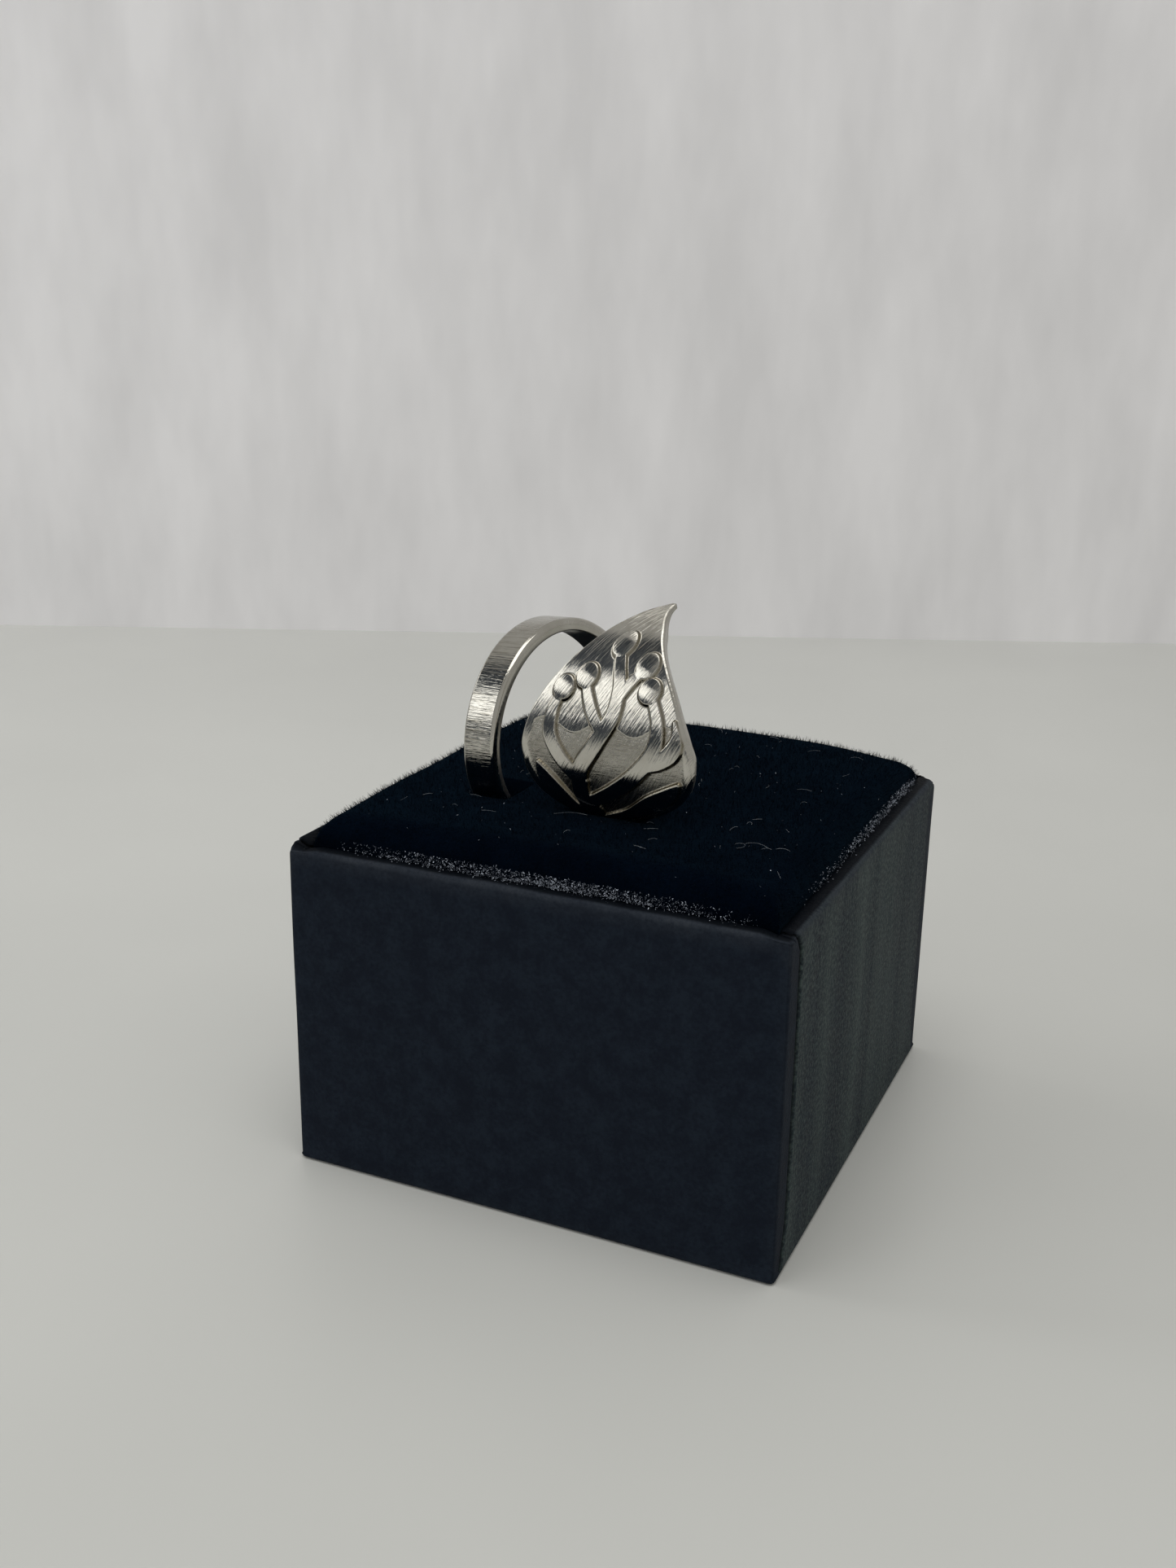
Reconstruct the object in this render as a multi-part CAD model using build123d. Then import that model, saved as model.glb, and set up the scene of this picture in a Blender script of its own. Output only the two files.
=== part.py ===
from build123d import *
import math
import os

os.makedirs("parts", exist_ok=True)

# A spoon ring standing in the velvet of an open ring box base. Millimetres and degrees.
# X runs along the front of the box, -Y faces the viewer and Z is up from the table.

# Box base: paper-covered board
box_width = 50.0
box_depth = 52.0
box_height = 33.2
board_thickness = 1.8
corner_radius = 1.0
rim_radius = 0.7
foot_radius = 0.6

# Velvet pad
pad_gap = 0.2
pad_start = 0.1
pad_shoulder = 3.0
pad_crown = 0.4
pad_end_drop = 0.6
seat_gap = 0.35
seat_left = -3.2
seat_right = 17.5
seat_taper = 4.0
seat_clear = 1.2
lip_radius = 17.6
lip_rise = 8.2
lip_taper = 6.0

# Ring: one strip of metal, bent one and a half times round the finger
finger_hole = 18.2
metal_thickness = 1.3
band_width = 3.4
band_x = -9.98
band_y = -3.74
ring_sink = 1.33
finger_yaw = -4.19
finger_tilt = 3.36
leaf_offset = 13.4
leaf_width = 17.6
leaf_crown = 0.25
tip_lift = 3.15
band_bevel = 0.3
edge_bevel = 0.16
band_bevel_share = 0.4
edge_bevel_share = 0.3
section_turn = 6.0

# Raised work on the leaf
relief_height = 0.28
relief_root = 0.3
relief_draft = 0.12
root_rise_share = 0.3
stem_width = 1.7
berry_radius = 1.15
berry_top_radius = 0.4
berry_dome = 0.14

ring_radius = finger_hole / 2 + metal_thickness
ring_centre = Vector(band_x, band_y, box_height - ring_sink + ring_radius)
half_leaf = leaf_width / 2

yaw = math.radians(finger_yaw)
tilt = math.radians(finger_tilt)
along = Vector(math.cos(yaw) * math.cos(tilt), math.sin(yaw) * math.cos(tilt), math.sin(tilt))
forward = Vector(math.sin(yaw), -math.cos(yaw), 0)
upward = forward.cross(along)
if upward.Z < 0:
    upward = upward * -1

# The strip from its hidden end to the tip of the leaf. The turn is 0 under the finger, 90 at the
# front, 180 on top and 270 at the back, and then goes on. The other columns are shares: the shift
# along the finger of leaf_offset, the reach to each side of that line of half_leaf, and the lift
# off the finger of tip_lift.
band_share = band_width / leaf_width
strip = [
    # turn, shift, reach, lift
    (22, -0.065, band_share, 0.000),
    (55, -0.040, band_share, 0.000),
    (90, 0.000, band_share, 0.000),
    (135, 0.073, band_share, 0.000),
    (180, 0.166, band_share, 0.000),
    (225, 0.281, band_share, 0.000),
    (270, 0.420, band_share, 0.000),
    (315, 0.590, band_share, 0.000),
    (355, 0.765, band_share, 0.000),
    (385, 0.890, band_share, 0.000),
    (400, 0.945, 0.216, 0.000),
    (408, 0.957, 0.345, 0.000),
    (414, 0.977, 0.538, 0.000),
    (420, 0.993, 0.723, 0.000),
    (427, 1.005, 0.870, 0.000),
    (435, 1.012, 0.959, 0.000),
    (443, 1.012, 1.000, 0.000),
    (451, 1.010, 1.012, 0.005),
    (460, 1.006, 0.967, 0.033),
    (470, 1.009, 0.890, 0.096),
    (480, 1.026, 0.786, 0.218),
    (488, 1.045, 0.680, 0.344),
    (495, 1.065, 0.573, 0.467),
    (501, 1.087, 0.476, 0.578),
    (507, 1.117, 0.379, 0.692),
    (512, 1.150, 0.301, 0.782),
    (517, 1.190, 0.210, 0.868),
    (521, 1.234, 0.136, 0.937),
    (526, 1.315, 0.030, 1.000),
]
first_turn = strip[0][0]
last_turn = strip[-1][0]


def at_turn(turn, column):
    """One column of the strip's table at any turn, on a smooth curve through its rows."""
    last = len(strip) - 2
    i = 0
    while i < last and turn > strip[i + 1][0]:
        i += 1
    t0, t1 = strip[i][0], strip[i + 1][0]
    v0, v1 = strip[i][column], strip[i + 1][column]
    slope = (v1 - v0) / (t1 - t0)
    before = (v0 - strip[i - 1][column]) / (t0 - strip[i - 1][0]) if i > 0 else slope
    after = (strip[i + 2][column] - v1) / (strip[i + 2][0] - t1) if i < last else slope
    m0 = 0 if before * slope <= 0 else 2 * before * slope / (before + slope)
    m1 = 0 if after * slope <= 0 else 2 * after * slope / (after + slope)
    if i == 0:
        m0 = slope
    if i == last:
        m1 = slope
    width = t1 - t0
    s = (turn - t0) / width
    return (
        v0 * (1 + 2 * s) * (1 - s) ** 2
        + v1 * s * s * (3 - 2 * s)
        + m0 * width * s * (1 - s) ** 2
        - m1 * width * s * s * (1 - s)
    )


def away(turn):
    """The direction straight out from the finger at a turn."""
    angle = math.radians(turn)
    return forward * math.sin(angle) - upward * math.cos(angle)


def on_strip(turn, across, height):
    """A point of the strip: across is measured along the finger from the strip's own line."""
    shift = at_turn(turn, 1) * leaf_offset
    radius = ring_radius + at_turn(turn, 3) * tip_lift + height
    return ring_centre + along * (shift + across) + away(turn) * radius


def crown_drop(reach):
    """How far the domed outer face has fallen, this far to the side of its middle."""
    return leaf_crown * (reach / half_leaf) ** 2


def strip_section(turn):
    """The outline of the metal, with a domed outer face and small bevels."""
    reach = at_turn(turn, 2) * half_leaf
    drop = crown_drop(reach)
    bevel_left = min(edge_bevel, edge_bevel_share * reach)
    bevel_right = min(band_bevel, band_bevel_share * reach)
    corners = [
        (reach - bevel_right, -drop),
        (reach, -drop - bevel_right),
        (reach, bevel_left - metal_thickness),
        (reach - bevel_left, -metal_thickness),
        (bevel_left - reach, -metal_thickness),
        (-reach, bevel_left - metal_thickness),
        (-reach, -drop - bevel_left),
        (bevel_left - reach, -drop),
    ]
    corners = [on_strip(turn, across, height) for across, height in corners]
    outer = ThreePointArc(corners[-1], on_strip(turn, 0, 0), corners[0])
    return Wire([outer] + [Line(a, b) for a, b in zip(corners, corners[1:])])


def make_strip():
    count = round((last_turn - first_turn) / section_turn)
    turns = [first_turn + (last_turn - first_turn) * i / count for i in range(count + 1)]
    return Solid.make_loft([strip_section(turn) for turn in turns])


# The raised work: a branching stem with small leaves and berries. Across is a share of half_leaf and
# width a share of stem_width. Each row is a point that the branch passes through.
branches = {
    "main_stem": [
        (402, -0.02, 0.80),
        (414, -0.16, 1.00),
        (428, -0.31, 1.05),
        (442, -0.28, 1.00),
        (456, -0.08, 0.95),
        (470, 0.11, 0.90),
        (483, 0.13, 0.80),
        (493, 0.06, 0.70),
        (500, 0.00, 0.60),
    ],
    "right_bough": [
        (422, -0.23, 0.85),
        (431, 0.08, 0.95),
        (442, 0.37, 0.95),
        (455, 0.59, 0.90),
        (468, 0.63, 0.75),
        (478, 0.55, 0.60),
    ],
    "left_bough": [
        (435, -0.29, 0.90),
        (447, -0.51, 0.95),
        (459, -0.63, 0.90),
        (470, -0.61, 0.75),
        (477, -0.56, 0.60),
    ],
    "left_twig": [
        (461, 0.00, 0.75),
        (473, -0.15, 0.75),
        (484, -0.26, 0.60),
    ],
    "right_twig": [
        (478, 0.13, 0.70),
        (486, 0.24, 0.65),
        (491, 0.33, 0.60),
    ],
    "low_left_leaf": [
        (409, -0.11, 0.45),
        (418, -0.41, 0.75),
        (427, -0.62, 1.25),
        (436, -0.74, 0.95),
        (443, -0.80, 0.30),
    ],
    "low_right_leaf": [
        (411, -0.07, 0.45),
        (417, 0.23, 0.75),
        (425, 0.51, 1.25),
        (432, 0.72, 0.95),
        (438, 0.84, 0.30),
    ],
    "high_right_leaf": [
        (445, 0.45, 0.45),
        (449, 0.64, 0.80),
        (455, 0.79, 1.00),
        (462, 0.85, 0.70),
        (470, 0.82, 0.25),
    ],
}
berries = [
    # turn, across
    (503, 0.00),
    (483, 0.48),
    (482, -0.52),
    (488, -0.28),
    (494, 0.37),
]


def smooth_rows(rows, steps):
    """Rows between the given ones, on a curve that passes through each of them."""
    out = []
    for i in range(len(rows) - 1):
        a, b = rows[max(i - 1, 0)], rows[i]
        c, d = rows[i + 1], rows[min(i + 2, len(rows) - 1)]
        for j in range(steps):
            t = j / steps
            out.append(tuple(
                0.5 * (2 * q + (r - p) * t + (2 * p - 5 * q + 4 * r - s) * t * t + (3 * q - p - 3 * r + s) * t ** 3)
                for p, q, r, s in zip(a, b, c, d)
            ))
    out.append(tuple(rows[-1]))
    return out


def on_leaf(turn, share, height=0.0):
    across = share * half_leaf
    return on_strip(turn, across, height - crown_drop(across))


def ridge(rows):
    """A raised branch with drafted sides, rooted in the leaf. It starts low, inside what it grows from."""
    stations = smooth_rows(rows, 2)
    sections = []
    for i, (turn, share, width) in enumerate(stations):
        before = stations[max(i - 1, 0)]
        after = stations[min(i + 1, len(stations) - 1)]
        run = on_leaf(after[0], after[1]) - on_leaf(before[0], before[1])
        out = away(turn)
        side = run.cross(out).normalized()
        middle = on_leaf(turn, share)
        foot = width * stem_width / 2
        top = foot - relief_draft
        rise = relief_height * (root_rise_share if i == 0 else 1)
        corners = [
            middle - side * foot - out * relief_root,
            middle + side * foot - out * relief_root,
            middle + side * top + out * rise,
            middle - side * top + out * rise,
        ]
        sections.append(Wire.make_polygon(corners, close=True))
    return Solid.make_loft(sections)


def berry(turn, share):
    """A low round head with a domed top that is flat in the middle, rooted in the leaf."""
    profile = [
        (0, -relief_root),
        (berry_radius, -relief_root),
        (berry_radius, relief_height - relief_draft),
        (berry_radius - relief_draft, relief_height),
        (berry_top_radius, relief_height + berry_dome),
        (0, relief_height + berry_dome),
    ]
    face = Face(Wire.make_polygon([(x, 0, z) for x, z in profile], close=True))
    return Plane(origin=on_leaf(turn, share), z_dir=away(turn)).location * Solid.revolve(face, 360, Axis.Z)


def make_ring():
    raised = [ridge(rows) for rows in branches.values()] + [berry(turn, share) for turn, share in berries]
    return make_strip().fuse(*raised)


def make_tray():
    """A board tray open at the top, with rounded edges."""
    outside = Pos(0, 0, box_height / 2) * Box(box_width, box_depth, box_height)
    outside = fillet(outside.edges().filter_by(Axis.Z), corner_radius)
    inside_height = box_height - board_thickness
    inside = Pos(0, 0, board_thickness + inside_height / 2) * Box(
        box_width - 2 * board_thickness, box_depth - 2 * board_thickness, inside_height
    )
    tray = outside - inside
    tray = fillet(tray.edges().group_by(Axis.Z)[-1], rim_radius)
    return fillet(tray.edges().group_by(Axis.Z)[0], foot_radius)


def pad_profile(half, shoulder, crown):
    """An upright outline of the pad, this far to each side, with round shoulders and a domed top."""
    low = board_thickness + pad_gap
    edge = box_height + pad_start
    top = edge + shoulder
    slant = shoulder * (1 - math.sqrt(0.5))
    arc_points = [
        [(half, edge), (half - slant, top - slant), (half - shoulder, top)],
        [(half - shoulder, top), (0, top + crown), (shoulder - half, top)],
        [(shoulder - half, top), (slant - half, top - slant), (-half, edge)],
    ]
    foot = Polyline((-half, edge), (-half, low), (half, low), (half, edge))
    return make_face([ThreePointArc(*points) for points in arc_points] + [foot])


def barrel(lift, radius, taper):
    """A round hollow along the finger, over the seat, with ends that run out over the taper."""
    end = lift + ring_radius - ring_sink - pad_start - pad_shoulder - pad_crown - seat_clear
    outline = [
        (seat_left - taper, 0),
        (seat_left - taper, end),
        (seat_left, radius),
        (seat_right, radius),
        (seat_right + taper, end),
        (seat_right + taper, 0),
    ]
    face = Face(Wire.make_polygon([(s, r, 0) for s, r in outline], close=True))
    hollow = Solid.revolve(face, 360, Axis.X)
    return Plane(origin=ring_centre + upward * lift, x_dir=along, z_dir=upward).location * hollow


def make_pad():
    """The padded insert: a domed top with round shoulders, and a seat that the ring has pressed."""
    half_x = box_width / 2 - board_thickness - pad_gap
    half_y = box_depth / 2 - board_thickness - pad_gap
    end_shoulder = pad_shoulder + pad_end_drop
    across = extrude(Plane.XZ * pad_profile(half_x, pad_shoulder, pad_crown), amount=half_y, both=True)
    deep = extrude(Plane.YZ * pad_profile(half_y, end_shoulder, pad_crown), amount=half_x, both=True)
    pad = across & deep
    pad -= barrel(0, ring_radius + seat_gap, seat_taper)
    return pad - barrel(lip_rise, lip_radius, lip_taper)


if __name__ == "__main__":
    for name, solid in [("spoon_ring", make_ring()), ("box_tray", make_tray()), ("velvet_pad", make_pad())]:
        print(name, solid.is_valid, len(solid.solids()), solid.volume, solid.bounding_box())
        export_step(solid, f"parts/{name}.step")
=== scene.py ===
import math

import bmesh
import bpy
import numpy as np
from mathutils import Matrix, Vector, noise


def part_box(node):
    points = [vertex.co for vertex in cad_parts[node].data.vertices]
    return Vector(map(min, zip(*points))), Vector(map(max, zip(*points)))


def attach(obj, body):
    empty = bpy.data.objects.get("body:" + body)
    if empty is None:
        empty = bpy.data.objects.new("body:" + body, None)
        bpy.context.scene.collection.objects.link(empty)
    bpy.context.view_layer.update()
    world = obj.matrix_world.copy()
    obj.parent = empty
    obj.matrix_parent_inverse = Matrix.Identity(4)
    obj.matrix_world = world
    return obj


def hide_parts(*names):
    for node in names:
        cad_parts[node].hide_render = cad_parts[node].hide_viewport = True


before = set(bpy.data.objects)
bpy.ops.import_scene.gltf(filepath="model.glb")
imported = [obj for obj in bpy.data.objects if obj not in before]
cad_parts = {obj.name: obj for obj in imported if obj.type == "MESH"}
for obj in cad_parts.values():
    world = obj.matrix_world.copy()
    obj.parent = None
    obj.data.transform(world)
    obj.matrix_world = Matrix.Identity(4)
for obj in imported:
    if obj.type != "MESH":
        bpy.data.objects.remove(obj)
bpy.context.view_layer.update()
mm = 0.001
print("frame loaded:", sorted(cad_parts))


def linkObject(name, data):
    thing = bpy.data.objects.new(name, data)
    bpy.context.scene.collection.objects.link(thing)
    return thing


def facing(way):
    return way.to_track_quat("Z", "Y").to_matrix().to_4x4()


# camera, fitted to the straight edges of the box
cameraSetup = dict(
    azimuth=24.35,  # degrees, turned to the right of straight in front
    elevation=17.64,
    roll=0.92,
    distance=165.07,  # mm
    target=(-5.558, 0.0, 34.916),
    lens=36.67,
    sensor=36.0,
    clip=(0.005, 20.0),  # metres
)


def makeCamera(setup):
    azimuth = math.radians(setup["azimuth"])
    elevation = math.radians(setup["elevation"])
    back = Vector((math.sin(azimuth) * math.cos(elevation), -math.cos(azimuth) * math.cos(elevation),
                   math.sin(elevation)))
    place = (Vector(setup["target"]) + back * setup["distance"]) * mm
    turn = facing(back) @ Matrix.Rotation(math.radians(setup["roll"]), 4, "Z")
    cameraData = bpy.data.cameras.new("camera")
    cameraData.lens = setup["lens"]
    cameraData.sensor_width = setup["sensor"]
    cameraData.clip_start, cameraData.clip_end = setup["clip"]
    camera = linkObject("camera", cameraData)
    camera.matrix_world = Matrix.Translation(place) @ turn
    bpy.context.scene.camera = camera


makeCamera(cameraSetup)


# soft daylight: a window in a dim wall to the front left, a panel on the left and one overhead
lightSetup = dict(
    lamps=dict(
        window=dict(azimuth=-42, distance=630, height=230, size=(430, 290), radiance=2.1,
                    colour=(1.0, 1.0, 0.985)),
        leftPanel=dict(azimuth=-88, distance=640, height=290, size=(400, 300), radiance=2.4,
                       colour=(1.0, 0.995, 0.98)),
        overhead=dict(azimuth=20, distance=165, height=800, size=(560, 560), radiance=2.1,
                      colour=(1.0, 0.995, 0.98)),
    ),
    aim=(0, 0, 40),  # mm, as the lamps' sizes and places
    room=(0.46, 0.455, 0.44, 1.0),
)


def aroundTable(thing):
    turn, distance = math.radians(thing["azimuth"]), thing["distance"]
    return Vector((math.sin(turn) * distance, -math.cos(turn) * distance, thing["height"])) * mm


def makeLights(setup):
    for name, lamp in setup["lamps"].items():
        width, depth = [side * mm for side in lamp["size"]]
        lightData = bpy.data.lights.new(name, "AREA")
        lightData.shape = "RECTANGLE"
        lightData.size = width
        lightData.size_y = depth
        lightData.energy = lamp["radiance"] * math.pi * width * depth
        lightData.color = lamp["colour"]
        place = aroundTable(lamp)
        away = place - Vector(setup["aim"]) * mm
        linkObject(name, lightData).matrix_world = Matrix.Translation(place) @ facing(away)
    world = bpy.data.worlds.new("room")
    world.use_nodes = True
    world.node_tree.nodes["Background"].inputs["Color"].default_value = setup["room"]
    bpy.context.scene.world = world
    bpy.context.scene.view_settings.view_transform = "Standard"


makeLights(lightSetup)
print("camera and lights placed")


# an input is set by its name or number, to a value or to a link
def setInputs(tree, node, inputs):
    for key, value in inputs.items():
        if isinstance(value, bpy.types.NodeSocket):
            tree.links.new(value, node.inputs[key])
        else:
            node.inputs[key].default_value = value


def addNode(tree, kind, inputs, **settings):
    node = tree.nodes.new(kind)
    for key, value in settings.items():
        setattr(node, key, value)
    setInputs(tree, node, inputs)
    return node


# first times second, plus third
def product(tree, first, second, third=0.0):
    inputs = {0: first, 1: second, 2: third}
    return addNode(tree, "ShaderNodeMath", inputs, operation="MULTIPLY_ADD").outputs[0]


def remap(tree, value, fromRange=(0.0, 1.0), toRange=(0.0, 1.0)):
    inputs = {"Value": value, "From Min": fromRange[0], "From Max": fromRange[1],
              "To Min": toRange[0], "To Max": toRange[1]}
    return addNode(tree, "ShaderNodeMapRange", inputs).outputs["Result"]


def mixColours(tree, share, first, second):
    return addNode(tree, "ShaderNodeMix", {0: share, 6: first, 7: second}, data_type="RGBA").outputs[2]


def scaleColour(tree, colour, share):
    inputs = {0: colour, "Scale": share}
    return addNode(tree, "ShaderNodeVectorMath", inputs, operation="SCALE").outputs[0]


def stretchPlace(tree, place, stretch):
    return addNode(tree, "ShaderNodeVectorMath", {0: place, 1: stretch}, operation="MULTIPLY").outputs[0]


def readAttribute(tree, name, output="Fac"):
    return addNode(tree, "ShaderNodeAttribute", {}, attribute_name=name).outputs[output]


def objectPlace(tree):
    return tree.nodes.new("ShaderNodeTexCoord").outputs["Object"]


def bumpFrom(tree, height, strength, distance):
    inputs = {"Height": height, "Strength": strength, "Distance": distance}
    return addNode(tree, "ShaderNodeBump", inputs).outputs["Normal"]


# inputs are numbers, or vectors where the value is None, and outputs are numbers
def newGroup(name, inputs, outputs):
    tree = bpy.data.node_groups.new(name, "ShaderNodeTree")
    for label, value in inputs.items():
        kind = "NodeSocketVector" if value is None else "NodeSocketFloat"
        socket = tree.interface.new_socket(label, in_out="INPUT", socket_type=kind)
        if value is not None:
            socket.default_value = value
    for label in outputs:
        tree.interface.new_socket(label, in_out="OUTPUT", socket_type="NodeSocketFloat")
    return tree, tree.nodes.new("NodeGroupInput").outputs, tree.nodes.new("NodeGroupOutput")


def useGroup(tree, group, **inputs):
    node = tree.nodes.new("ShaderNodeGroup")
    node.node_tree = group
    setInputs(tree, node, inputs)
    return node.outputs


def newMaterial(name):
    material = bpy.data.materials.new(name)
    material.use_nodes = True
    tree = material.node_tree
    tree.nodes.clear()
    output = tree.nodes.new("ShaderNodeOutputMaterial")
    shader = tree.nodes.new("ShaderNodeBsdfPrincipled")
    tree.links.new(shader.outputs["BSDF"], output.inputs["Surface"])
    return material, tree, shader


noiseLooks = dict(
    grain=dict(Detail=4.0, Roughness=0.65),
    blotch=dict(Detail=3.0, Roughness=0.55),
    scratch=dict(Scale=1.0, Detail=3.0, Roughness=0.6),
    scratchFull=0.75,  # the noise at which a scratch is at its strongest
)


# a fine grain with soft blotches: paper fibres, pile, mottling
def makeGrainGroup(looks):
    inputs = {"coordinate": None, "grainScale": 900.0, "blotchScale": 120.0}
    tree, inside, outside = newGroup("fineGrain", inputs, ["grain", "blotch"])
    for name in ("grain", "blotch"):
        inputs = {"Vector": inside["coordinate"], "Scale": inside[name + "Scale"], **looks[name]}
        pattern = addNode(tree, "ShaderNodeTexNoise", inputs)
        tree.links.new(pattern.outputs["Fac"], outside.inputs[name])
    return tree


# long thin scratches that run one way: noise on a turned and stretched coordinate
def makeScratchGroup(looks):
    inputs = {"coordinate": None, "turn": None, "stretch": None, "density": 0.5}
    tree, inside, outside = newGroup("thinScratches", inputs, ["height", "mask"])
    turned = addNode(tree, "ShaderNodeMapping", {"Vector": inside["coordinate"], "Rotation": inside["turn"]})
    stretched = stretchPlace(tree, turned.outputs["Vector"], inside["stretch"])
    lines = addNode(tree, "ShaderNodeTexNoise", {"Vector": stretched, **looks["scratch"]}).outputs["Fac"]
    mask = remap(tree, lines, (inside["density"], looks["scratchFull"]))
    setInputs(tree, outside, {"height": lines, "mask": mask})
    return tree


grainGroup = makeGrainGroup(noiseLooks)
scratchGroup = makeScratchGroup(noiseLooks)


def smoothStep(low, high, value):
    t = np.clip((value - low) / (high - low), 0.0, 1.0)
    return t * t * (3 - 2 * t)


# 0 to 1 on the way up to an edge, between two distances from it
def nearing(edge, distances, value):
    return float(smoothStep(edge - distances[0], edge - distances[1], value))


def waveAt(place, scales, offset):
    x, y, z = [c * scale for c, scale in zip(place, scales)]
    return noise.noise(Vector((x, y, z + offset)))


def meshFrom(bm, name):
    mesh = bpy.data.meshes.new(name)
    bm.to_mesh(mesh)
    bm.free()
    return mesh


def closeMesh(bm):
    bmesh.ops.holes_fill(bm, edges=[e for e in bm.edges if e.is_boundary], sides=0)
    bmesh.ops.recalc_face_normals(bm, faces=bm.faces)


def linkPiece(name, mesh, material):
    piece = linkObject(name, mesh)
    mesh.materials.append(material)
    mesh.polygons.foreach_set("use_smooth", [True] * len(mesh.polygons))
    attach(piece, "root")
    return piece


# dark paper over the box base
paperLooks = dict(
    deep=(0.0095, 0.0130, 0.0210, 1.0),
    pale=(0.0142, 0.0204, 0.0308, 1.0),
    mottle=(0.17, 0.36),  # grain times blotch, from deep to pale
    worn=(0.034, 0.040, 0.050, 1.0),
    wornShare=1.7,
    rubbedAndPaintedLight=(0.070, 0.093, 0.089, 1.0),  # streaks and flecks on the side papers, partly rubbing and partly painted light that makes the side faces brighter
    streakStretch=(130.0, 130.0, 9.0),
    streakDensity=0.43,
    streakShare=0.5,
    flecks=(0.44, 0.72),
    # painted shade: the share of the colour left where the seam's groove, the rim's top and the inside are
    # darkest
    grooveShade=0.04,
    roughness=(0.44, 0.60),
    grainScale=2600.0,
    blotchScale=420.0,
    grainDepth=0.00008,  # metres
    bump=0.8,
    creaseShare=3.0,
    shine=0.022,
)


def makePaperMaterial(looks):
    material, tree, shader = newMaterial("boxPaper")
    where, sidePaper = objectPlace(tree), readAttribute(tree, "sidePaper")
    noises = useGroup(tree, grainGroup, coordinate=where, grainScale=looks["grainScale"],
                      blotchScale=looks["blotchScale"])
    grain, blotch = noises["grain"], noises["blotch"]
    streaks = useGroup(tree, scratchGroup, coordinate=where, stretch=looks["streakStretch"],
                       density=looks["streakDensity"])
    mottle = remap(tree, product(tree, grain, blotch), looks["mottle"])
    colour = mixColours(tree, mottle, looks["deep"], looks["pale"])
    # the side papers are lighter in upright streaks and flecks: partly rubbing, partly painted light on the
    # side faces
    rubbingAndPaintedLight = product(tree, streaks["mask"], looks["streakShare"], remap(tree, grain, looks["flecks"]))
    colour = mixColours(tree, product(tree, rubbingAndPaintedLight, sidePaper), colour, looks["rubbedAndPaintedLight"])
    # the edges are worn in patches
    worn = product(tree, product(tree, readAttribute(tree, "wear"), grain), looks["wornShare"])
    colour = mixColours(tree, worn, colour, looks["worn"])
    # painted shade in the seam's groove, on the rim's top and inside the tray
    shade = remap(tree, readAttribute(tree, "grooveAndPaintedShade"), toRange=(1.0, looks["grooveShade"]))
    creases = product(tree, streaks["height"], sidePaper)
    height = product(tree, creases, looks["creaseShare"], grain)
    setInputs(tree, shader, {
        "Base Color": scaleColour(tree, colour, shade),
        "Roughness": remap(tree, blotch, toRange=looks["roughness"]),
        "Specular IOR Level": looks["shine"],
        "Normal": bumpFrom(tree, height, looks["bump"], looks["grainDepth"]),
    })
    return material


paperMaterial = makePaperMaterial(paperLooks)


# box base: board walls under paper, with the side papers laid over the wrapped ends of the front and back
trayShape = dict(
    board=1.8,  # mm, as all lengths here
    edgeRadius=0.6,
    innerRadius=0.4,  # of the rim's inner edge
    slack=0.01,  # within which two places are the same
    slice=1.3,  # between the cuts away from the edges
    edgeCuts=(0.1, 0.22, 0.38, 0.6),
    innerCuts=(1.0, 0.4),  # shares of innerRadius
    outerShare=0.6,  # of the board's thickness, as seen from above
    sidePaper=(0.6, 0.2),  # in from the side face
    shelter=0.8,  # painted shade: how dark the rim's top and the inside are, out of the light
    shelterDepth=(0.15, 0.7),
    seam=dict(
        fromEnd=2.9,  # to the front or back face, and less at the rim and at the foot
        atRim=1.75,
        atFoot=1.9,
        start=0.5,
        leanAtRim=(1.6, 0.1),  # below the rim, where it starts to lean and has leaned
        leanAtFoot=6.0,  # above the table
        leanBefore=(2.2, 0.5),  # from the seam, where the paper starts to lean with it
        leanBeyond=(2.35, 0.9),  # from the end face, where it stops
        reach=0.2,  # in past the board
        width=0.34,
        depth=0.42,
        sides=(0.25, 0.62),  # shares of width, as paperSide
        paperSide=0.4,
        paper=0.16,  # how far the side paper stands proud
        cuts=(-2.2, -1.0, -0.5),
        grooveCuts=(-1.9, -1.0, -0.4, 0.4, 1.0, 1.9),  # shares of half of width
        wrapCut=0.6,
    ),
    wave=dict(height=0.10, start=1.5, scales=(0.06, 0.06, 0.09), rippleShare=0.25,
              rippleScales=(0.25, 0.25, 0.05)),
    rim=dict(
        band=2.5,  # below the rim, where its own waves, fold and droop start
        wave=0.14,
        scales=(0.16, 0.16, 0.0),
        foldRise=0.55,  # the loose fold on the left
        foldTop=0.2,
        foldStart=(0.45, 0.75),  # from the front face
        foldFade=(4.0, 24.0),  # behind the middle, where it fades, and the share lost
        foldLost=0.5,
        foldInside=(0.3, 0.1),  # in from the left face, and in past the board
        droop=0.85,  # of the corner at the back right, and of the others
        plainDroop=0.15,
        droopReach=(0.4, 3.8),
    ),
    # distances to the nearest faces, and below the rim, where wear stops to grow
    wear=dict(nearest=(-0.9, -0.1), next=(-1.0, -0.15), belowRim=(3.0, 0.8), low=0.25,
              patches=0.75, patchSpread=0.5, scale=0.5),
)


def sliceMesh(bm, axis, cuts):
    normal = Vector([1.0 if i == axis else 0.0 for i in range(3)])
    for cut in cuts:
        geometry = bm.verts[:] + bm.edges[:] + bm.faces[:]
        bmesh.ops.bisect_plane(bm, geom=geometry, dist=1e-7, plane_co=normal * cut * mm, plane_no=normal)


def evenCuts(low, high, step):
    count = max(1, round((high - low) / step))
    return [low + (high - low) * i / count for i in range(1, count)]


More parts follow.
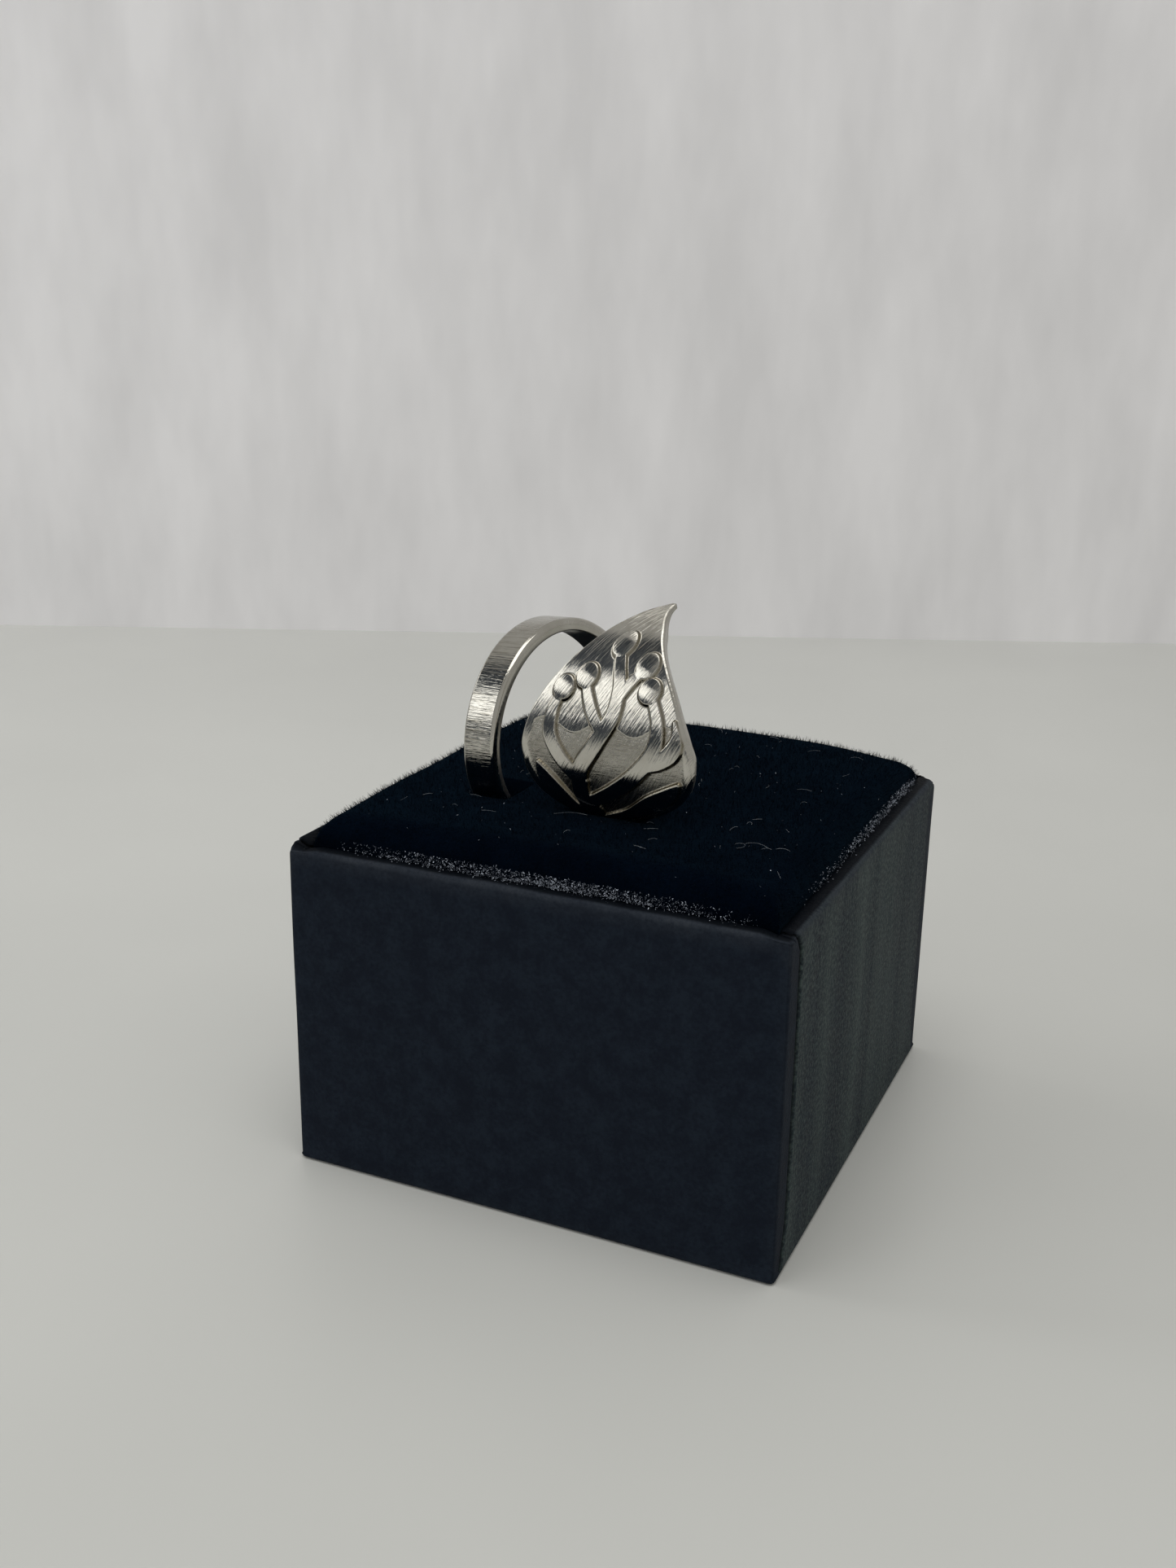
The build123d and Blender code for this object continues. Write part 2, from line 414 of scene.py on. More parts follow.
# cuts close together at the edges and the seams, and even ones between them
def cutTray(bm, shape, low, high):
    board, edgeCuts, seam = shape["board"], list(shape["edgeCuts"]), shape["seam"]
    seamPlace = high.y - seam["fromEnd"]
    nearSeam = [seamPlace + d for d in seam["cuts"]]
    nearSeam += [seamPlace + share * (seam["width"] / 2) for share in seam["grooveCuts"]]
    nearEdge = edgeCuts + [board - share * shape["innerRadius"] for share in shape["innerCuts"]]
    endX = [high.x - c for c in nearEdge]
    endY = [high.y - c for c in nearEdge] + nearSeam + [seamPlace + seam["wrapCut"]]
    endZ = [high.z - c for c in edgeCuts] + [low.z + c for c in edgeCuts]
    for axis, plain, ends in ((0, high.x - board, endX), (1, nearSeam[0], endY)):
        sliceMesh(bm, axis, evenCuts(-plain, plain, shape["slice"]) + ends + [-c for c in ends])
    sliceMesh(bm, 2, evenCuts(low.z + edgeCuts[-1], high.z - edgeCuts[-1], shape["slice"]) + endZ)


def makeTray(shape):
    low, high = [Vector(c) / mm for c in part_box("box_tray")]
    board = shape["board"]
    bm = bmesh.new()
    # a block with its top pushed down between the walls
    bmesh.ops.create_cube(bm, size=mm, matrix=Matrix.Translation((high + low) / 2 * mm)
                          @ Matrix.Diagonal((*(high - low), 1.0)))
    for axis in (0, 1):
        sliceMesh(bm, axis, [board - high[axis], high[axis] - board])
    bm.normal_update()
    top = [f for f in bm.faces if f.normal.z > 0.9 and f.calc_center_median().xy.length < mm]
    walls = bmesh.ops.extrude_face_region(bm, geom=top)
    sunk = [v for v in walls["geom"] if isinstance(v, bmesh.types.BMVert)]
    bmesh.ops.translate(bm, vec=(0, 0, -(high.z - board) * mm), verts=sunk)
    bmesh.ops.delete(bm, geom=top, context="FACES")
    cutTray(bm, shape, low, high)
    shapeTray(bm, shape, low, high)
    bmesh.ops.recalc_face_normals(bm, faces=bm.faces)
    piece = linkPiece("boxTray", meshFrom(bm, "boxTray"), paperMaterial)
    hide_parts("box_tray")
    return piece


# where a point of the sharp-edged tray goes when its outer edges and the rim's inner edge are round
def roundTray(place, depth, shape, low, high):
    radius, small, board = shape["edgeRadius"], shape["innerRadius"], shape["board"]
    if depth < board / 2:
        core = Vector([min(max(c, a + radius), b - radius) for c, a, b in zip(place, low, high)])
        return core + (place - core).normalized() * radius
    if depth > board + shape["slack"] or depth < board - small or place.z < high.z - small:
        return place
    core = Vector((board - small, high.z - small))
    turned = core + (Vector((depth, place.z)) - core).normalized() * small
    out = Vector((place.x, place.y, turned.y))
    for axis in (0, 1):
        if high[axis] - abs(place[axis]) < depth + shape["slack"]:
            out[axis] = math.copysign(high[axis] - turned.x, place[axis])
    return out


# the seam leans to the corners at the rim and at the foot, and the side paper stands proud beside it
def seamMove(place, normal, seam, high):
    run, seamPlace = abs(place.y), high.y - seam["fromEnd"]
    lean = (seam["fromEnd"] - seam["atRim"]) * nearing(high.z, seam["leanAtRim"], place.z)
    lean += (seam["fromEnd"] - seam["atFoot"]) * (1 - smoothStep(0.0, seam["leanAtFoot"], place.z))
    lean *= nearing(seamPlace, seam["leanBefore"], run) * (1 - nearing(high.y, seam["leanBeyond"], run))
    move = Vector((0, math.copysign(lean, place.y), 0))
    if place.z <= seam["start"]:
        return move, 0.0
    inner, outer, side = [share * seam["width"] for share in (*seam["sides"], seam["paperSide"])]
    # the groove's depth across the seam, which is also the painted shade in it
    grooveAndPaintedShade = float(1 - smoothStep(inner, outer, abs(run - seamPlace)))
    proud = float(smoothStep(-side, side, run - seamPlace)) * seam["paper"]
    return move - normal * (grooveAndPaintedShade * seam["depth"] + proud), grooveAndPaintedShade


# the rim waves, its loose fold stands up on the left and its corners droop
def rimLift(place, rim, board, low, high):
    x, y, z = place
    lift = waveAt((x, y, 0.0), rim["scales"], 5.0) * rim["wave"]
    foldEdge, pastBoard = rim["foldInside"]
    if x < low.x + board + foldEdge:
        fold = 1 - rim["foldLost"] * smoothStep(*rim["foldFade"], y)
        fold *= smoothStep(*rim["foldStart"], y - low.y)
        fold *= 1 - smoothStep(foldEdge, board + pastBoard, x - low.x)
        lift += rim["foldRise"] * fold * nearing(high.z, (rim["band"], rim["foldTop"]), z)
    corner = math.hypot(abs(x) - high.x, abs(y) - high.y)
    droop = rim["droop"] if x > 0 and y > 0 else rim["plainDroop"]
    return float(lift - droop * (1 - smoothStep(*rim["droopReach"], corner)))


# the outer edges are worn in patches, mostly at the rim
def wearAt(place, wear, low, high):
    x, y, z = place
    faces = sorted([abs(x) - high.x, abs(y) - high.y, z - high.z, low.z - z])
    worn = smoothStep(*wear["nearest"], faces[-1]) * smoothStep(*wear["next"], faces[-2])
    worn *= wear["low"] + (1 - wear["low"]) * nearing(high.z, wear["belowRim"], z)
    patches = wear["patches"] + wear["patchSpread"] * noise.noise(place * wear["scale"])
    return min(1.0, float(worn) * patches)


def shapeTray(bm, shape, low, high):
    layers = [bm.verts.layers.float.new(label) for label in ("wear", "grooveAndPaintedShade", "sidePaper")]
    board, seam, wave, rim = shape["board"], shape["seam"], shape["wave"], shape["rim"]
    seamPlace, paperEdge = high.y - seam["fromEnd"], seam["width"] / 2
    bm.normal_update()
    moves = []
    for v in bm.verts:
        place = v.co / mm
        depth = min(high.x - abs(place.x), high.y - abs(place.y))
        move = roundTray(place, depth, shape, low, high) - place
        grooveAndPaintedShade = 0.0
        if abs(place.x) > high.x - board - seam["reach"]:
            seamed, grooveAndPaintedShade = seamMove(place, v.normal, seam, high)
            move += seamed
        if depth < shape["outerShare"] * board:
            # paper over board is never quite flat
            if place.z > wave["start"]:
                swell = waveAt(place, wave["scales"], 3.0)
                swell += waveAt(place, wave["rippleScales"], 9.0) * wave["rippleShare"]
                move += v.normal * (swell * wave["height"])
            if place.z > high.z - rim["band"]:
                move.z += rimLift(place, rim, board, low, high)
        moves.append(move)
        # painted shade on the rim's top and the inside, away from the outer faces
        if place.z > low.z + seam["start"]:
            grooveAndPaintedShade = max(grooveAndPaintedShade, shape["shelter"] * float(smoothStep(*shape["shelterDepth"], depth)))
        paper = nearing(high.x, shape["sidePaper"], abs(place.x))
        paper *= float(1 - smoothStep(-paperEdge, paperEdge, abs(place.y) - seamPlace))
        for layer, value in zip(layers, (wearAt(place, shape["wear"], low, high), grooveAndPaintedShade, paper)):
            v[layer] = value
    for v, move in zip(bm.verts, moves):
        v.co += move * mm


boxTray = makeTray(trayShape)
print("tray:", len(boxTray.data.polygons), "faces")


# velvet: near black blue, with a little sheen at grazing angles and patches where the pile leans
velvetLooks = dict(
    deep=(0.0005, 0.0013, 0.0040, 1.0),
    brushed=(0.0011, 0.0033, 0.0080, 1.0),
    patches=(0.15, 0.42),  # grain times blotch, from deep to brushed
    roughness=0.95,
    sheen=0.026,
    sheenTint=(0.36, 0.72, 1.0, 1.0),
    pileScale=3600.0,
    patchScale=210.0,
    pileDepth=0.00012,  # metres
    bump=0.9,
)


def makeVelvetMaterial(looks):
    material, tree, shader = newMaterial("velvet")
    noises = useGroup(tree, grainGroup, coordinate=objectPlace(tree), grainScale=looks["pileScale"],
                      blotchScale=looks["patchScale"])
    patches = remap(tree, product(tree, noises["grain"], noises["blotch"]), looks["patches"])
    setInputs(tree, shader, {
        "Base Color": mixColours(tree, patches, looks["deep"], looks["brushed"]),
        "Normal": bumpFrom(tree, noises["grain"], looks["bump"], looks["pileDepth"]),
        "Roughness": looks["roughness"],
        "Specular IOR Level": 0.0,
        "Sheen Weight": looks["sheen"],
        "Sheen Tint": looks["sheenTint"],
    })
    return material


velvetMaterial = makeVelvetMaterial(velvetLooks)


# the ring's shape, as in the solid: one strip wound one and a half times round the finger
ringShape = dict(
    fingerHole=18.2,  # mm and degrees
    thickness=1.3,
    place=(-9.98, -3.74),
    bottom=31.87,
    yaw=-4.19,
    tilt=3.36,
    leafOffset=13.4,
    leafWidth=17.6,
    leafCrown=0.25,
    tipLift=3.15,
    bandBevel=0.3,  # at the right edge, and its most as a share of the reach
    bandBevelShare=0.4,
    edgeBevel=0.16,  # at the other edges
    edgeBevelShare=0.3,
    thinBevelShare=0.4,  # of the thickness, where the tip thins
    bevelMiddle=0.3,  # shares of a bevel, in and down to the middle of its rounding
    domeMiddle=0.35,
    leafStart=400.0,
    tipThins=(510.0, 527.0, 0.6),  # turns, and the share of the thickness lost
    strip=[  # turn, shift, reach, lift
        (22, -0.065, 0.193, 0.000), (55, -0.040, 0.193, 0.000), (90, 0.000, 0.193, 0.000),
        (135, 0.073, 0.193, 0.000), (180, 0.166, 0.193, 0.000), (225, 0.281, 0.193, 0.000),
        (270, 0.420, 0.193, 0.000), (315, 0.590, 0.193, 0.000), (355, 0.765, 0.193, 0.000),
        (385, 0.890, 0.193, 0.000), (400, 0.945, 0.216, 0.000), (408, 0.957, 0.345, 0.000),
        (414, 0.977, 0.538, 0.000), (420, 0.993, 0.723, 0.000), (427, 1.005, 0.870, 0.000),
        (435, 1.012, 0.959, 0.000), (443, 1.012, 1.000, 0.000), (451, 1.010, 1.012, 0.005),
        (460, 1.006, 0.967, 0.033), (470, 1.009, 0.890, 0.096), (480, 1.026, 0.786, 0.218),
        (488, 1.045, 0.680, 0.344), (495, 1.065, 0.573, 0.467), (501, 1.087, 0.476, 0.578),
        (507, 1.117, 0.379, 0.692), (512, 1.150, 0.301, 0.782), (517, 1.190, 0.210, 0.868),
        (521, 1.234, 0.136, 0.937), (526, 1.315, 0.030, 1.000),
    ],
)
ringRadius = ringShape["fingerHole"] / 2 + ringShape["thickness"]
ringCentre = Vector((*ringShape["place"], ringShape["bottom"] + ringRadius))
halfLeaf = ringShape["leafWidth"] / 2
degreeLength = math.radians(1.0) * ringRadius
yaw = math.radians(ringShape["yaw"])
tilt = math.radians(ringShape["tilt"])
along = np.array((math.cos(yaw) * math.cos(tilt), math.sin(yaw) * math.cos(tilt), math.sin(tilt)))
forward = np.array((math.sin(yaw), -math.cos(yaw), 0.0))
upward = -np.cross(forward, along)
upward = upward * math.copysign(1.0, upward[2])


# one column of the strip's table at many turns, on a smooth curve through its rows
def stripColumn(turns, column):
    table = np.array(ringShape["strip"], dtype=float)
    knots, values = table[:, 0], table[:, column]
    slopes = np.diff(values) / np.diff(knots)
    before, after = slopes[:-1], slopes[1:]
    both = before * after
    middle = np.where(both > 0, 2 * both / np.where(both > 0, before + after, 1.0), 0.0)
    tangents = np.concatenate([slopes[:1], middle, slopes[-1:]])
    i = np.clip(np.searchsorted(knots, turns, side="right") - 1, 0, len(knots) - 2)
    width = knots[i + 1] - knots[i]
    s = (turns - knots[i]) / width
    return (values[i] * (1 + 2 * s) * (1 - s) ** 2 + values[i + 1] * s * s * (3 - 2 * s)
            + tangents[i] * width * s * (1 - s) ** 2 - tangents[i + 1] * width * s * s * (1 - s))


def awayFrom(turns):
    angles = np.radians(turns)[..., None]
    return forward * np.sin(angles) - upward * np.cos(angles)


def onStrip(turns, across, height):
    shift = stripColumn(turns, 1) * ringShape["leafOffset"] + across
    radius = ringRadius + stripColumn(turns, 3) * ringShape["tipLift"] + height
    return np.array(ringCentre) + along * shift[..., None] + awayFrom(turns) * radius[..., None]


def crownDrop(across):
    return ringShape["leafCrown"] * (across / halfLeaf) ** 2


# raised work: a branching stem with leaves and berries, as in the solid
reliefShape = dict(
    height=0.28,  # mm
    stemWidth=1.7,
    slope=0.26,  # how wide the rounded side of a ridge is
    berryRadius=1.15,
    berryDome=0.14,
    cellDepth=0.09,
    cellTop=464.0,  # degrees, the same turn as the strip's
    cellArch=3.5,
    cellWaves=9.0,
    cellFade=0.6,
    border=(0.7, 1.05),  # mm from the leaf's edge
    branches=[  # turn, across as a share of half the leaf, width as a share of stemWidth
        [(402, -0.02, 0.80), (414, -0.16, 1.00), (428, -0.31, 1.05), (442, -0.28, 1.00),
         (456, -0.08, 0.95), (470, 0.11, 0.90), (483, 0.13, 0.80), (493, 0.06, 0.70), (500, 0.00, 0.60)],
        [(422, -0.23, 0.85), (431, 0.08, 0.95), (442, 0.37, 0.95), (455, 0.59, 0.90), (468, 0.63, 0.75),
         (478, 0.55, 0.60)],
        [(435, -0.29, 0.90), (447, -0.51, 0.95), (459, -0.63, 0.90), (470, -0.61, 0.75),
         (477, -0.56, 0.60)],
        [(461, 0.00, 0.75), (473, -0.15, 0.75), (484, -0.26, 0.60)],
        [(478, 0.13, 0.70), (486, 0.24, 0.65), (491, 0.33, 0.60)],
        [(409, -0.11, 0.45), (418, -0.41, 0.75), (427, -0.62, 1.25), (436, -0.74, 0.95),
         (443, -0.80, 0.30)],
        [(411, -0.07, 0.45), (417, 0.23, 0.75), (425, 0.51, 1.25), (432, 0.72, 0.95), (438, 0.84, 0.30)],
        [(445, 0.45, 0.45), (449, 0.64, 0.80), (455, 0.79, 1.00), (462, 0.85, 0.70), (470, 0.82, 0.25)],
    ],
    steps=10,  # between two points of a branch
    berries=[(503, 0.00), (483, 0.48), (482, -0.52), (488, -0.28), (494, 0.37)],
)


def smoothRows(rows, steps):
    rows = np.array([rows[0], *rows, rows[-1]])
    t = np.arange(steps)[:, None] / steps
    parts = []
    for p, q, r, s in zip(rows, rows[1:], rows[2:], rows[3:]):
        square, cube = 2 * p - 5 * q + 4 * r - s, 3 * q - p - 3 * r + s
        parts.append(0.5 * (2 * q + (r - p) * t + square * t ** 2 + cube * t ** 3))
    return np.concatenate([*parts, rows[-1:]])


# at many points: the share of the raised work's height, the berries' domes in mm, and how far inside a ridge
def reliefAt(turns, across, shape):
    x, y = across, turns * degreeLength
    best = np.full(x.shape, -np.inf)
    dome = np.zeros(x.shape)
    for rows in shape["branches"]:
        path = smoothRows(rows, shape["steps"])
        px, py, half = path[:, 1] * halfLeaf, path[:, 0] * degreeLength, path[:, 2] * shape["stemWidth"] / 2
        for i in range(len(px) - 1):
            dx, dy = px[i + 1] - px[i], py[i + 1] - py[i]
            t = np.clip(((x - px[i]) * dx + (y - py[i]) * dy) / (dx * dx + dy * dy), 0.0, 1.0)
            gap = np.hypot(x - px[i] - t * dx, y - py[i] - t * dy)
            best = np.maximum(best, half[i] + t * (half[i + 1] - half[i]) - gap)
    for turn, share in shape["berries"]:
        gap = np.hypot(x - share * halfLeaf, y - turn * degreeLength)
        best = np.maximum(best, shape["berryRadius"] - gap)
        dome = np.maximum(dome, 1 - (gap / shape["berryRadius"]) ** 2)
    return smoothStep(-shape["slope"] / 2, shape["slope"] / 2, best), dome * shape["berryDome"], best


# the satin cells sunk between the branches, under an arched line: 1 inside them and 0 outside
def cellAt(turns, across, reach, shape):
    top = shape["cellTop"] + shape["cellArch"] * np.cos(across / halfLeaf * shape["cellWaves"])
    below = smoothStep(-shape["cellFade"], shape["cellFade"], top - turns)
    return below * smoothStep(*shape["border"], reach - np.abs(across))


# how rough each part of the ring is, from 0, polished, to 1, matt
finishShape = dict(
    bevel=0.0,
    bevelShare=0.42,  # of the way round the right edge
    edge=0.75,
    band=0.12,
    plain=0.09,
    raised=0.03,
    cell=0.62,
    ridgeLine=0.11,  # mm, half the width of the dark line beside a ridge
)
# cells along each part of the strip and round its section
ringCells = dict(
    band=dict(rows=300, outer=22, edge=10, inner=10, relief=False),
    leaf=dict(rows=400, outer=190, edge=12, inner=16, relief=True),
)


# columns round the metal's section: the outer face, the right edge, the inner face and the left edge
def sectionColumns(cells):
    sides = [("outer", "outer"), ("right", "edge"), ("inner", "inner"), ("left", "edge")]
    return [(side, i / cells[kind]) for side, kind in sides for i in range(cells[kind])]


# the points that the section's right edge, inner face and left edge pass through, across and in height
def sectionPaths(reach, left, right, thick):
    soft, domed, drop = ringShape["bevelMiddle"], ringShape["domeMiddle"], crownDrop(reach)
    innerRight, innerLeft = (reach - left, -thick), (left - reach, -thick)
    rightDrop = np.minimum(right, ringShape["thinBevelShare"] * thick)
    return {
        "right": [(reach - right, -drop), (reach - domed * right, -drop - soft * right),
                  (reach, -drop - rightDrop), (reach, left - thick),
                  (reach - soft * left, soft * left - thick), innerRight],
        "inner": [innerRight, innerLeft],
        "left": [innerLeft, (soft * left - reach, soft * left - thick), (-reach, left - thick),
                 (-reach, -drop - left), (soft * left - reach, -drop - soft * left), (left - reach, -drop)],
    }


def ridePath(points, share):
    i = min(int(share * (len(points) - 1)), len(points) - 2)
    t = share * (len(points) - 1) - i
    return [a + (b - a) * t for a, b in zip(points[i], points[i + 1])]


# the leaf's outer face: how far it stands up, its finish, its cells and the dark lines beside its ridges
def dressLeaf(turns, across, reach, onOuter):
    relief, dome, inside = reliefAt(turns, across, reliefShape)
    ridgeLine = np.exp(-(inside / finishShape["ridgeLine"]) ** 2) * onOuter
    relief = relief * onOuter
    cell = cellAt(turns, across, reach, reliefShape) * (1 - relief) * onOuter
    rise = relief * (reliefShape["height"] + dome) - cell * reliefShape["cellDepth"]
    plain = finishShape["plain"] + (finishShape["raised"] - finishShape["plain"]) * relief
    return rise, plain + (finishShape["cell"] - plain) * cell, cell, ridgeLine


def makeStrip(name, start, end, cells, metal):
    columns = sectionColumns(cells)
    bm = bmesh.new()
    bmesh.ops.create_grid(bm, x_segments=cells["rows"], y_segments=len(columns), size=1.0)
    flatLayer = bm.verts.layers.float_vector.new("flat")
    layers = [bm.verts.layers.float.new(label) for label in ("finish", "hatched", "ridgeLine")]
    bm.verts.ensure_lookup_table()
    spots = np.array([v.co[:2] for v in bm.verts])
    turns = start + (end - start) * (spots[:, 0] + 1) / 2
    index = np.round((spots[:, 1] + 1) / 2 * len(columns)).astype(int) % len(columns)
    reach = stripColumn(turns, 2) * halfLeaf
    left = np.minimum(ringShape["edgeBevel"], ringShape["edgeBevelShare"] * reach)
    right = np.minimum(ringShape["bandBevel"], ringShape["bandBevelShare"] * reach)
    thinStart, thinEnd, thinShare = ringShape["tipThins"]
    thick = ringShape["thickness"] * (1 - thinShare * smoothStep(thinStart, thinEnd, turns))
    paths = sectionPaths(reach, left, right, thick)
    across, height, onOuter, ridgeLine = np.zeros((4, len(turns)))
    finish = np.full(len(turns), finishShape["edge"])
    for i, (side, share) in enumerate(columns):
        at = index == i
        if side == "outer":
            across[at] = (left - reach + share * (2 * reach - left - right))[at]
            height[at] = -crownDrop(across[at])
            onOuter[at] = 1.0
        else:
            a, h = ridePath(paths[side], share)
            across[at], height[at] = a[at], h[at]
            if side == "right" and share < finishShape["bevelShare"]:
                finish[at] = finishShape["bevel"]
    outerFinish, hatched = finishShape["band"], onOuter
    if cells["relief"]:
        rise, outerFinish, hatched, ridgeLine = dressLeaf(turns, across, reach, onOuter)
        height = height + rise
    finish = np.where(onOuter > 0, outerFinish, finish)
    places = onStrip(turns, across, height) * mm
    flat = np.stack([across * mm, turns * degreeLength * mm, 0 * turns], axis=1)
    for v, place, spot, *values in zip(bm.verts, places, flat, finish, hatched, ridgeLine):
        v.co = place
        v[flatLayer] = spot
        for layer, value in zip(layers, values):
            v[layer] = value
    bmesh.ops.remove_doubles(bm, verts=bm.verts, dist=1e-7)
    closeMesh(bm)
    piece = linkPiece(name, meshFrom(bm, name), metal)
    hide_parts("spoon_ring")
    return piece


silverLooks = dict(
    metal=(0.515, 0.498, 0.45, 1.0),
    tarnish=(0.16, 0.138, 0.092, 1.0),
    ridgeTarnish=0.8,
    blotchScale=260.0,
    blotches=(0.42, 0.8),
    blotchTarnish=0.30,
    roughness=(0.065, 0.36),  # at a finish of 0, polished, and of 1, matt
    scratchTurn=(0.0, 0.0, 0.55),
    scratchStretch=(5600.0, 260.0, 1.0),
    scratchRoughness=0.10,
    hatchTurn=(0.0, 0.0, 0.03),
    density=0.5,
    rippleDepth=0.00006,  # metres
    bump=0.8,
)
hatchLooks = dict(
    leaf=dict(stretch=(900.0, 5600.0, 1.0), depth=0.8, tarnish=0.20, lines=0.30, scratches=1.1),
    band=dict(stretch=(260.0, 4300.0, 1.0), depth=1.0, tarnish=0.02, lines=0.60, scratches=0.15),
)


def makeSilverMaterial(name, looks, hatch):
    material, tree, shader = newMaterial(name)
    flat = readAttribute(tree, "flat", "Vector")
    hatched = readAttribute(tree, "hatched")
    blotch = useGroup(tree, grainGroup, coordinate=flat, blotchScale=looks["blotchScale"])["blotch"]
    scratches = useGroup(tree, scratchGroup, coordinate=flat, turn=looks["scratchTurn"],
                         stretch=looks["scratchStretch"], density=looks["density"])
    lines = useGroup(tree, scratchGroup, coordinate=flat, turn=looks["hatchTurn"], stretch=hatch["stretch"],
                     density=looks["density"])
    # dark beside the ridges, in the cells, along the hatch lines and in blotches
    tarnish = product(tree, readAttribute(tree, "ridgeLine"), looks["ridgeTarnish"])
    tarnish = product(tree, hatched, hatch["tarnish"], tarnish)
    tarnish = product(tree, product(tree, lines["mask"], hatched), hatch["lines"], tarnish)
    tarnish = product(tree, remap(tree, blotch, looks["blotches"]), looks["blotchTarnish"], tarnish)
    rough = remap(tree, readAttribute(tree, "finish"), toRange=looks["roughness"])
    scratchHeight = product(tree, scratches["height"], hatch["scratches"])
    height = product(tree, lines["height"], product(tree, hatched, hatch["depth"]), scratchHeight)
    setInputs(tree, shader, {
        "Base Color": mixColours(tree, tarnish, looks["metal"], looks["tarnish"]),
        "Metallic": 1.0,
        "Roughness": product(tree, scratches["mask"], looks["scratchRoughness"], rough),
        "Normal": bumpFrom(tree, height, looks["bump"], looks["rippleDepth"]),
    })
    return material


leafMetal = makeSilverMaterial("satinSilver", silverLooks, hatchLooks["leaf"])
bandMetal = makeSilverMaterial("hatchedSilver", silverLooks, hatchLooks["band"])


firstTurn, leafTurn, lastTurn = ringShape["strip"][0][0], ringShape["leafStart"], ringShape["strip"][-1][0]
ringBand = makeStrip("ringBand", firstTurn, leafTurn, ringCells["band"], bandMetal)
ringLeaf = makeStrip("ringLeaf", leafTurn, lastTurn, ringCells["leaf"], leafMetal)
print("ring:", len(ringBand.data.polygons), len(ringLeaf.data.polygons), "faces")


# velvet pad: a firm crowned cushion with round shoulders, slit where the ring stands in it
padShape = dict(
    gap=0.08,  # mm to the tray's walls
    shoulder=3.0,
    shoulderEnd=0.15,  # how far below its start the shoulder may end
    start=33.3,  # where the shoulder leaves the wall
    crown=0.4,
    squareness=3.0,  # how sharp the corners are seen from above
    cornerFalls={(-1, -1): 0.3, (1, 1): 1.1, (1, -1): 0.6, (-1, 1): 0.6},
    cornerReach=7.0,
    cornerFade=0.9,  # the share of the fall lost down the shoulder
    slitGap=0.12,  # velvet to metal
    slitEdge=0.75,  # the width of the slit's pressed edge
    lipBlend=0.7,
    waves=0.10,
    waveScales=(0.11, 0.11, 0.0),
    cells=(250, 260),
    bottomGap=0.2,
)
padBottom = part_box("velvet_pad")[0][2] / mm
trayHigh = np.array(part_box("box_tray")[1]) / mm
padHalf = trayHigh[:2] - trayShape["board"] - padShape["gap"]


def softMin(a, b, blend):
    h = np.clip(0.5 + 0.5 * (b - a) / blend, 0.0, 1.0)
    return b + (a - b) * h - blend * h * (1 - h)


# a share from -1 to 1 goes along the flat top and down the round shoulder
def shoulderRun(share, half, radius):
    flatLength = half - radius
    run = np.abs(share) * (flatLength + radius * math.pi / 2)
    angle = np.clip((run - flatLength) / radius, 0.0, math.pi / 2)
    place = np.where(run < flatLength, run, flatLength + radius * np.sin(angle))
    return np.sign(share) * place, radius * (1 - np.cos(angle))


# how far the metal in the pad presses the velvet down: it stays under the strip and closes beside it
def pressed(x, y, top, shape):
    level = np.full(x.shape, shape["start"] + shape["shoulder"])
    fromRing = np.stack([x, y, level], axis=1) - np.array(ringCentre)
    s = fromRing @ along
    t = fromRing @ forward
    radius = ringRadius + shape["slitGap"]
    angle = np.degrees(np.arcsin(np.clip(t / radius, -1.0, 1.0)))
    depth = np.sqrt(np.maximum(radius ** 2 - t ** 2, 0.0))
    under = softMin(ringCentre.z + along[2] * s - depth, top, shape["lipBlend"])
    z = top.copy()
    for lap in (0.0, 360.0):
        turns = angle + lap
        held = np.maximum(turns, firstTurn)
        beside = np.abs(s - stripColumn(held, 1) * ringShape["leafOffset"]) - stripColumn(held, 2) * halfLeaf
        beyond = (held - turns) * math.radians(1.0) * radius
        clear = np.maximum(beside, beyond)
        share = smoothStep(shape["slitGap"], shape["slitGap"] + shape["slitEdge"], clear)
        z = np.minimum(z, under + (top - under) * share)
    return z


def padPoints(shareX, shareY, shape):
    shoulder = shape["shoulder"]
    x, dropX = shoulderRun(shareX, padHalf[0], shoulder)
    y, dropY = shoulderRun(shareY, padHalf[1], shoulder)
    drop = (dropX ** shape["squareness"] + dropY ** shape["squareness"]) ** (1 / shape["squareness"])
    drop = np.minimum(drop, shoulder + shape["shoulderEnd"])
    top = shape["start"] + shoulder - drop
    top += shape["crown"] * (1 - (x / padHalf[0]) ** 2) * (1 - (y / padHalf[1]) ** 2)
    onTop = 1 - shape["cornerFade"] * np.minimum(drop / shoulder, 1)
    for (sideX, sideY), fall in shape["cornerFalls"].items():
        away = np.hypot(x - sideX * padHalf[0], y - sideY * padHalf[1])
        top -= fall * np.exp(-(away / shape["cornerReach"]) ** 2) * onTop
    top += shape["waves"] * np.array([waveAt((a, b, 0.0), shape["waveScales"], 1.0) for a, b in zip(x, y)])
    return np.stack([x, y, pressed(x, y, top, shape)], axis=1)


